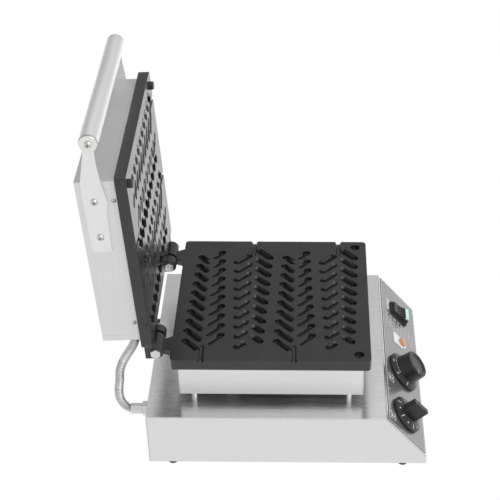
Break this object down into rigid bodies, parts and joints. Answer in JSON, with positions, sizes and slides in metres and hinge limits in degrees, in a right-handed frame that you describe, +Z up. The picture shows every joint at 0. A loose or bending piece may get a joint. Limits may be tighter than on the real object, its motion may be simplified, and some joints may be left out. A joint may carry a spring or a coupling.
{
  "type": "stick waffle maker",
  "caption": "Countertop waffle maker: stainless base with sloping controls, dark grill plates with tree-shaped moulds for stick waffles, hinged upper plate, cover and bar handle.",
  "frame": {"origin": "middle of the base's footprint, on the surface that the feet stand on", "axes": "+Z up, -Y towards the operator and the control panel, +X to the operator's right"},
  "size_m": [0.332, 0.4732, 0.5411],
  "materials": {
    "stainless": "brushed stainless sheet",
    "coating": "matt dark non-stick coating on cast aluminium",
    "zinc": "zinc plated",
    "element": "oxidised sheath",
    "conduit": "flexible metal conduit",
    "brass": "plain",
    "rubber": "matt",
    "black_plastic": "fine grain",
    "black_gloss": "satin gloss",
    "panel_film": "satin grey film",
    "white_plastic": "matt",
    "tan_plastic": "phenolic",
    "lamp": "translucent orange",
    "lens": "translucent mint",
    "wool": "ceramic wool pad",
    "wire": "insulated leads in a sleeve"
  },
  "bodies": {
    "base": {"base_housing": "stainless", "base_bottom_plate": "stainless", "rubber_feet": "rubber", "feet_screws": "zinc", "feet_nuts": "zinc", "control_panel_overlay": "panel_film", "lower_heater_box": "stainless", "box_standoffs": "stainless", "tie_bolts": "zinc", "tie_bolt_washers": "zinc", "lower_grill_plate": "coating", "lower_heating_element": "element", "lower_heater_clamp": "zinc", "lower_clamp_screws": "zinc", "lower_insulation": "wool", "wire_sleeve": "white_plastic", "thermostat_probe": "zinc", "thermostat_body": "tan_plastic", "timer_body": "white_plastic", "switch_housing": "black_gloss", "indicator_bezel": "white_plastic", "indicator_lamp": "lamp", "terminal_block": "white_plastic", "terminal_screws": "brass", "wiring_loom": "wire", "power_cord_gland": "black_plastic", "gland_locknut": "black_plastic", "earth_stud": "brass", "hinge_bolts": "zinc", "hinge_nuts": "zinc", "conduit_base_fitting": "zinc", "conduit_locknut": "zinc", "conduit": "conduit"},
    "lid": {"upper_grill_plate": "coating", "registration_pins": "black_plastic", "upper_heating_element": "element", "upper_heater_clamp": "zinc", "upper_clamp_screws": "zinc", "upper_insulation": "wool", "lid_cover": "stainless", "lid_cover_screws": "zinc", "handle_tube": "stainless", "handle_tube_plugs": "zinc", "handle_bracket_left": "stainless", "handle_bracket_right": "stainless", "handle_end_caps": "stainless", "handle_end_screws": "zinc", "bracket_screws": "zinc", "bracket_nuts": "zinc", "conduit_lid_grommet": "zinc"},
    "thermostat_dial": {"thermostat_spindle": "zinc", "thermostat_knob": "black_plastic"},
    "timer_dial": {"timer_spindle": "zinc", "timer_knob": "black_plastic"},
    "rocker": {"switch_rocker": "black_gloss", "switch_lens": "lens"}
  },
  "joints": [
    {"name": "lid_hinge", "type": "hinge", "parent": "base", "child": "lid", "pos_m": [0, 0.1835, 0.18175], "axis": [1, 0, 0], "range_deg": [0, 93], "deforming": ["conduit"]},
    {"name": "thermostat_turn", "type": "hinge", "parent": "base", "child": "thermostat_dial", "pos_m": [-0.029, -0.17, 0.061], "axis": [0, 0.7682, -0.6402], "range_deg": [0, 270]},
    {"name": "timer_turn", "type": "hinge", "parent": "base", "child": "timer_dial", "pos_m": [-0.121, -0.17, 0.061], "axis": [0, 0.7682, -0.6402], "range_deg": [0, 300]},
    {"name": "rocker_tilt", "type": "hinge", "parent": "base", "child": "rocker", "pos_m": [0.11, -0.172, 0.06266], "axis": [1, 0, 0], "range_deg": [0, 30]}
  ]
}
